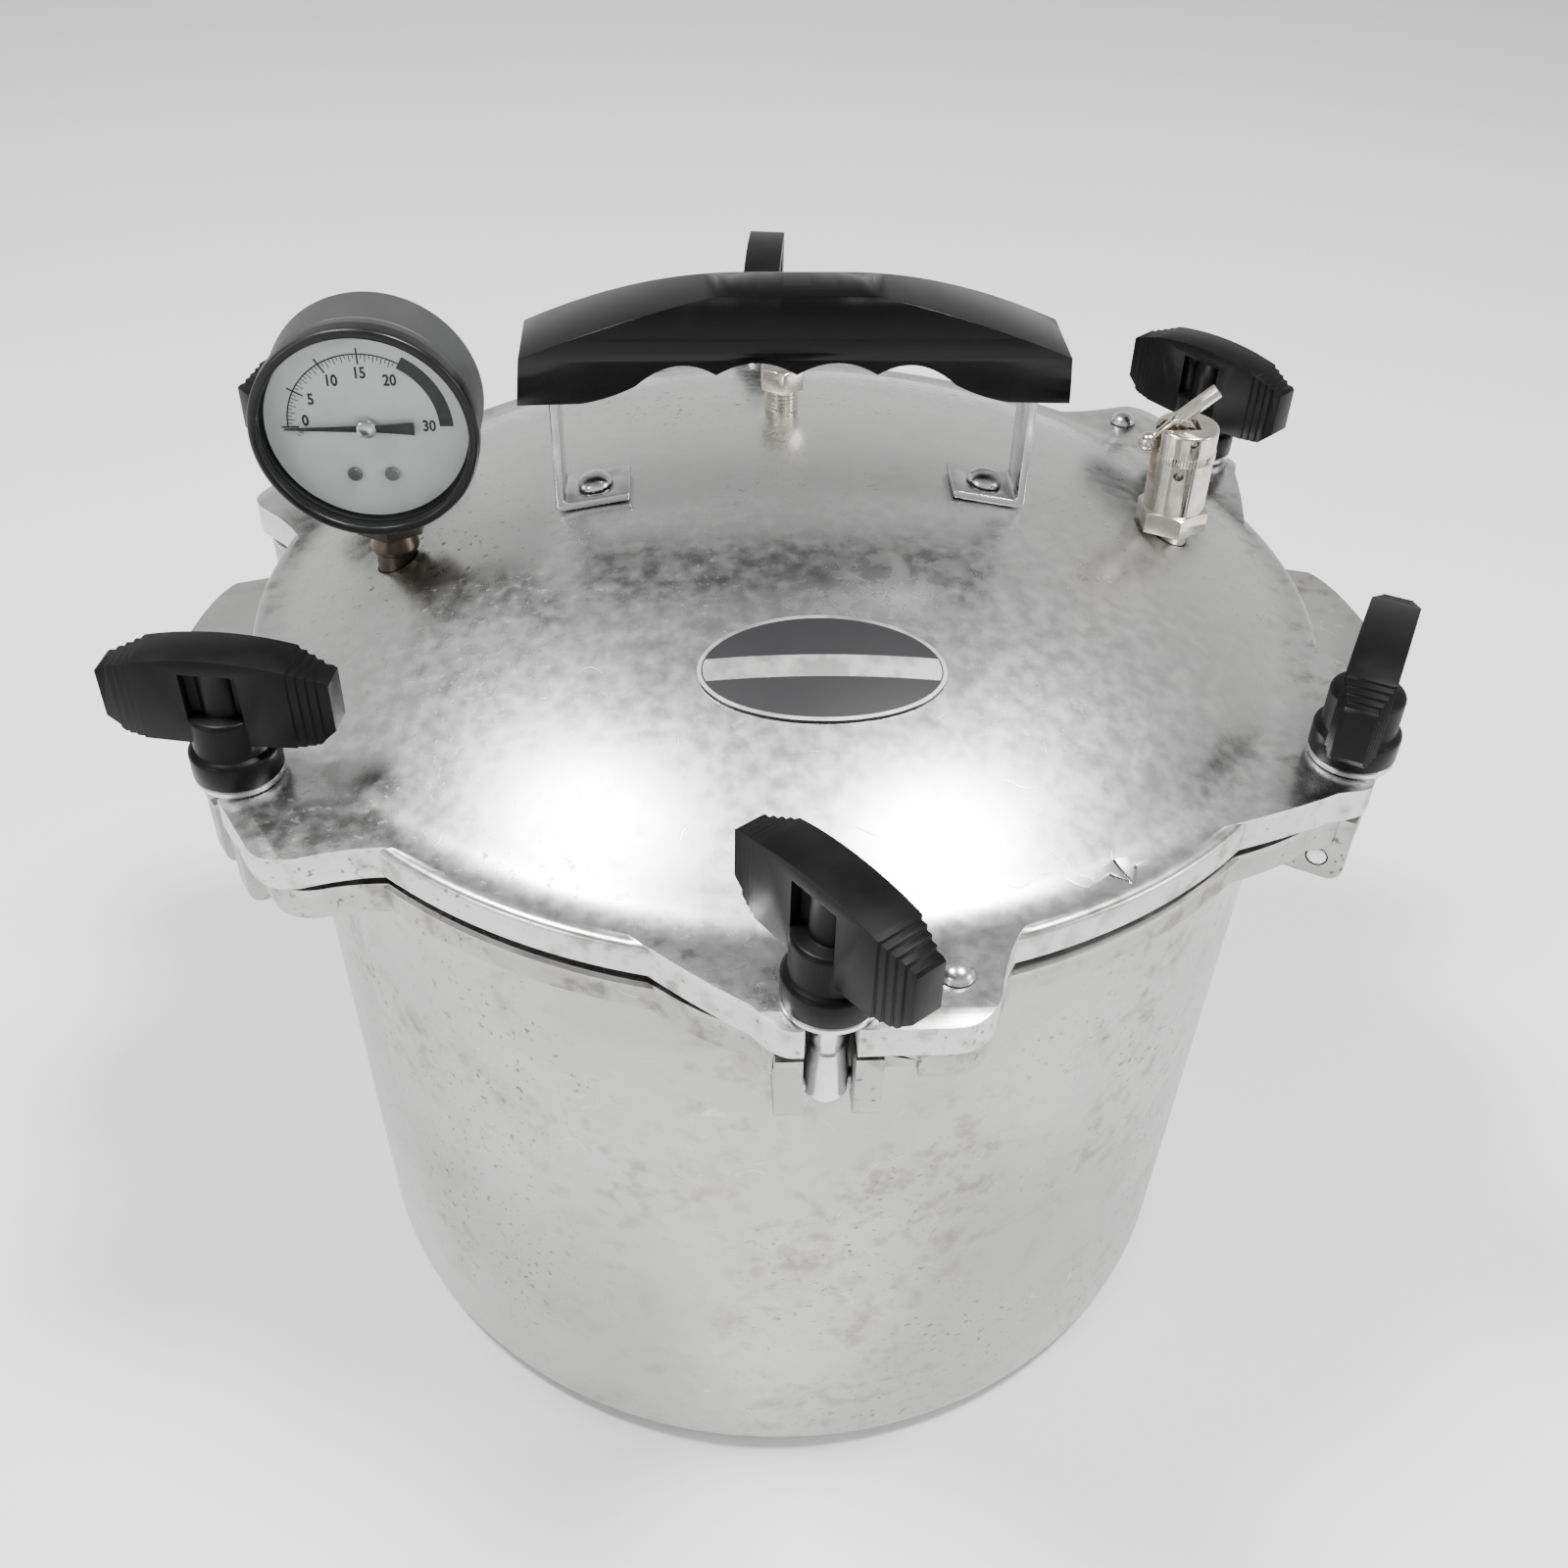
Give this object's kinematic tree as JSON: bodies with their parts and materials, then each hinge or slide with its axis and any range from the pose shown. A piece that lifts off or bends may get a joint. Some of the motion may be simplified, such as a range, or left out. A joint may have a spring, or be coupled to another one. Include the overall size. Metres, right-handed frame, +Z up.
{
  "type": "pressure canner",
  "caption": "Cast-aluminium pressure canner: deep pot, domed lid held by swing bolts with wing nuts, arched handle, dial gauge, petcock and relief plug.",
  "frame": {"origin": "centre of the pot's flat base, on the surface it stands on", "axes": "+Z up, -Y towards the front clamp and the gauge's face, +X towards the petcock and along the handle"},
  "size_m": [0.383, 0.4187, 0.355],
  "materials": {
    "cast_aluminium": "sand-cast and brushed, dulled with light staining",
    "polished_aluminium": "cast and polished, fine scratches and light staining",
    "bright_steel": "bright plated steel",
    "nickel": "nickel plate, slightly worn",
    "bakelite": "moulded black bakelite, satin with dusty wear",
    "gloss_black": "polished black bakelite",
    "gauge_black": "black stove enamel",
    "brass": "plain brass",
    "dial_white": "matt white dial paint with black markings",
    "clear_glass": "clear glass",
    "plate_black": "etched plate, black ground and bright border"
  },
  "bodies": {
    "pot": {"pot_body": "cast_aluminium", "hinge_pin_1": "bright_steel", "hinge_pin_2": "bright_steel", "hinge_pin_3": "bright_steel", "hinge_pin_4": "bright_steel", "hinge_pin_5": "bright_steel", "hinge_pin_6": "bright_steel"},
    "lid": {"lid_body": "polished_aluminium", "name_plate": "plate_black", "lid_stud_1": "bright_steel", "lid_stud_2": "bright_steel", "handle_grip": "gloss_black", "handle_bracket_left": "bright_steel", "handle_bracket_right": "bright_steel", "handle_rivet_left": "bright_steel", "handle_screw_right": "bright_steel", "gauge_socket": "brass", "gauge_case": "gauge_black", "gauge_bezel": "gauge_black", "gauge_lens": "clear_glass", "gauge_dial": "dial_white", "dial_screw_left": "bright_steel", "dial_screw_right": "bright_steel", "sector_pivot": "brass", "movement_plate": "brass", "bourdon_tube": "brass", "petcock_body": "nickel", "petcock_pin": "bright_steel", "relief_body": "nickel", "relief_spring": "bright_steel"},
    "pointer": {"gauge_pointer": "gauge_black", "pointer_arbor": "brass"},
    "sector": {"sector_gear": "brass"},
    "lever": {"petcock_lever": "nickel"},
    "relief_ball": {"relief_ball": "bright_steel"},
    "rack": {"canning_rack": "cast_aluminium"},
    "bolt_1": {"swing_bolt_1": "bright_steel"},
    "washer_1": {"clamp_washer_1": "bright_steel"},
    "insert_1": {"nut_insert_1": "brass"},
    "nut_1": {"wing_nut_1": "bakelite"},
    "bolt_2": {"swing_bolt_2": "bright_steel"},
    "washer_2": {"clamp_washer_2": "bright_steel"},
    "insert_2": {"nut_insert_2": "brass"},
    "nut_2": {"wing_nut_2": "bakelite"},
    "bolt_3": {"swing_bolt_3": "bright_steel"},
    "washer_3": {"clamp_washer_3": "bright_steel"},
    "insert_3": {"nut_insert_3": "brass"},
    "nut_3": {"wing_nut_3": "bakelite"},
    "bolt_4": {"swing_bolt_4": "bright_steel"},
    "washer_4": {"clamp_washer_4": "bright_steel"},
    "insert_4": {"nut_insert_4": "brass"},
    "nut_4": {"wing_nut_4": "bakelite"},
    "bolt_5": {"swing_bolt_5": "bright_steel"},
    "washer_5": {"clamp_washer_5": "bright_steel"},
    "insert_5": {"nut_insert_5": "brass"},
    "nut_5": {"wing_nut_5": "bakelite"},
    "bolt_6": {"swing_bolt_6": "bright_steel"},
    "washer_6": {"clamp_washer_6": "bright_steel"},
    "insert_6": {"nut_insert_6": "brass"},
    "nut_6": {"wing_nut_6": "bakelite"}
  },
  "joints": [
    {"name": "lid_lift", "type": "slide", "parent": "pot", "child": "lid", "axis": [0, 0, 1], "range_m": [0, 0.014]},
    {"name": "sector_turn", "type": "hinge", "parent": "lid", "child": "sector", "pos_m": [-0.1205, -0.031, 0.30249], "axis": [0, 1, 0], "range_deg": [-45, 0], "stiffness_Nm_per_rad": 0.002, "springref_deg": 5.73},
    {"name": "pointer_turn", "type": "hinge", "parent": "lid", "child": "pointer", "pos_m": [-0.1205, -0.031, 0.32249], "axis": [0, 1, 0], "range_deg": [0, 180]},
    {"name": "petcock_flip", "type": "hinge", "parent": "lid", "child": "lever", "pos_m": [0.121, 0.002, 0.3062], "axis": [0, -1, 0], "range_deg": [-38, 48]},
    {"name": "relief_lift", "type": "slide", "parent": "lid", "child": "relief_ball", "axis": [0, 0, 1], "range_m": [0, 0.0015], "stiffness_N_per_m": 20, "springref_m": -0.01, "deforming": ["relief_spring"]},
    {"name": "rack_lift", "type": "slide", "parent": "pot", "child": "rack", "axis": [0, 0, 1], "range_m": [0, 0.19]},
    {"name": "bolt_swing_1", "type": "hinge", "parent": "pot", "child": "bolt_1", "pos_m": [0, -0.1792, 0.2235], "axis": [1, 0, 0], "range_deg": [0, 150]},
    {"name": "washer_lift_1", "type": "slide", "parent": "bolt_1", "child": "washer_1", "axis": [0, 0, 1], "range_m": [0, 0.014]},
    {"name": "nut_rise_1", "type": "slide", "parent": "washer_1", "child": "insert_1", "axis": [0, 0, 1], "range_m": [0, 0.008]},
    {"name": "nut_turn_1", "type": "hinge", "parent": "insert_1", "child": "nut_1", "pos_m": [0, -0.1792, 0.2548], "axis": [0, 0, 1], "range_deg": [0, 1440]},
    {"name": "bolt_swing_2", "type": "hinge", "parent": "pot", "child": "bolt_2", "pos_m": [0.15519, -0.0896, 0.2235], "axis": [0.5, 0.866, 0], "range_deg": [0, 150]},
    {"name": "washer_lift_2", "type": "slide", "parent": "bolt_2", "child": "washer_2", "axis": [0, 0, 1], "range_m": [0, 0.014]},
    {"name": "nut_rise_2", "type": "slide", "parent": "washer_2", "child": "insert_2", "axis": [0, 0, 1], "range_m": [0, 0.008]},
    {"name": "nut_turn_2", "type": "hinge", "parent": "insert_2", "child": "nut_2", "pos_m": [0.15519, -0.0896, 0.2548], "axis": [0, 0, 1], "range_deg": [0, 1440]},
    {"name": "bolt_swing_3", "type": "hinge", "parent": "pot", "child": "bolt_3", "pos_m": [0.15519, 0.0896, 0.2235], "axis": [-0.5, 0.866, 0], "range_deg": [0, 150]},
    {"name": "washer_lift_3", "type": "slide", "parent": "bolt_3", "child": "washer_3", "axis": [0, 0, 1], "range_m": [0, 0.014]},
    {"name": "nut_rise_3", "type": "slide", "parent": "washer_3", "child": "insert_3", "axis": [0, 0, 1], "range_m": [0, 0.008]},
    {"name": "nut_turn_3", "type": "hinge", "parent": "insert_3", "child": "nut_3", "pos_m": [0.15519, 0.0896, 0.2548], "axis": [0, 0, 1], "range_deg": [0, 1440]},
    {"name": "bolt_swing_4", "type": "hinge", "parent": "pot", "child": "bolt_4", "pos_m": [0, 0.1792, 0.2235], "axis": [-1, 0, 0], "range_deg": [0, 150]},
    {"name": "washer_lift_4", "type": "slide", "parent": "bolt_4", "child": "washer_4", "axis": [0, 0, 1], "range_m": [0, 0.014]},
    {"name": "nut_rise_4", "type": "slide", "parent": "washer_4", "child": "insert_4", "axis": [0, 0, 1], "range_m": [0, 0.008]},
    {"name": "nut_turn_4", "type": "hinge", "parent": "insert_4", "child": "nut_4", "pos_m": [0, 0.1792, 0.2548], "axis": [0, 0, 1], "range_deg": [0, 1440]},
    {"name": "bolt_swing_5", "type": "hinge", "parent": "pot", "child": "bolt_5", "pos_m": [-0.15519, 0.0896, 0.2235], "axis": [-0.5, -0.866, 0], "range_deg": [0, 150]},
    {"name": "washer_lift_5", "type": "slide", "parent": "bolt_5", "child": "washer_5", "axis": [0, 0, 1], "range_m": [0, 0.014]},
    {"name": "nut_rise_5", "type": "slide", "parent": "washer_5", "child": "insert_5", "axis": [0, 0, 1], "range_m": [0, 0.008]},
    {"name": "nut_turn_5", "type": "hinge", "parent": "insert_5", "child": "nut_5", "pos_m": [-0.15519, 0.0896, 0.2548], "axis": [0, 0, 1], "range_deg": [0, 1440]},
    {"name": "bolt_swing_6", "type": "hinge", "parent": "pot", "child": "bolt_6", "pos_m": [-0.15519, -0.0896, 0.2235], "axis": [0.5, -0.866, 0], "range_deg": [0, 150]},
    {"name": "washer_lift_6", "type": "slide", "parent": "bolt_6", "child": "washer_6", "axis": [0, 0, 1], "range_m": [0, 0.014]},
    {"name": "nut_rise_6", "type": "slide", "parent": "washer_6", "child": "insert_6", "axis": [0, 0, 1], "range_m": [0, 0.008]},
    {"name": "nut_turn_6", "type": "hinge", "parent": "insert_6", "child": "nut_6", "pos_m": [-0.15519, -0.0896, 0.2548], "axis": [0, 0, 1], "range_deg": [0, 1440]}
  ],
  "couplings": [
    {"joint": "pointer_turn", "follows": "sector_turn", "ratio": -4},
    {"joint": "washer_lift_1", "follows": "lid_lift", "ratio": 1},
    {"joint": "nut_turn_1", "follows": "nut_rise_1", "rad_per_m": 3141.6},
    {"joint": "washer_lift_2", "follows": "lid_lift", "ratio": 1},
    {"joint": "nut_turn_2", "follows": "nut_rise_2", "rad_per_m": 3141.6},
    {"joint": "washer_lift_3", "follows": "lid_lift", "ratio": 1},
    {"joint": "nut_turn_3", "follows": "nut_rise_3", "rad_per_m": 3141.6},
    {"joint": "washer_lift_4", "follows": "lid_lift", "ratio": 1},
    {"joint": "nut_turn_4", "follows": "nut_rise_4", "rad_per_m": 3141.6},
    {"joint": "washer_lift_5", "follows": "lid_lift", "ratio": 1},
    {"joint": "nut_turn_5", "follows": "nut_rise_5", "rad_per_m": 3141.6},
    {"joint": "washer_lift_6", "follows": "lid_lift", "ratio": 1},
    {"joint": "nut_turn_6", "follows": "nut_rise_6", "rad_per_m": 3141.6}
  ]
}
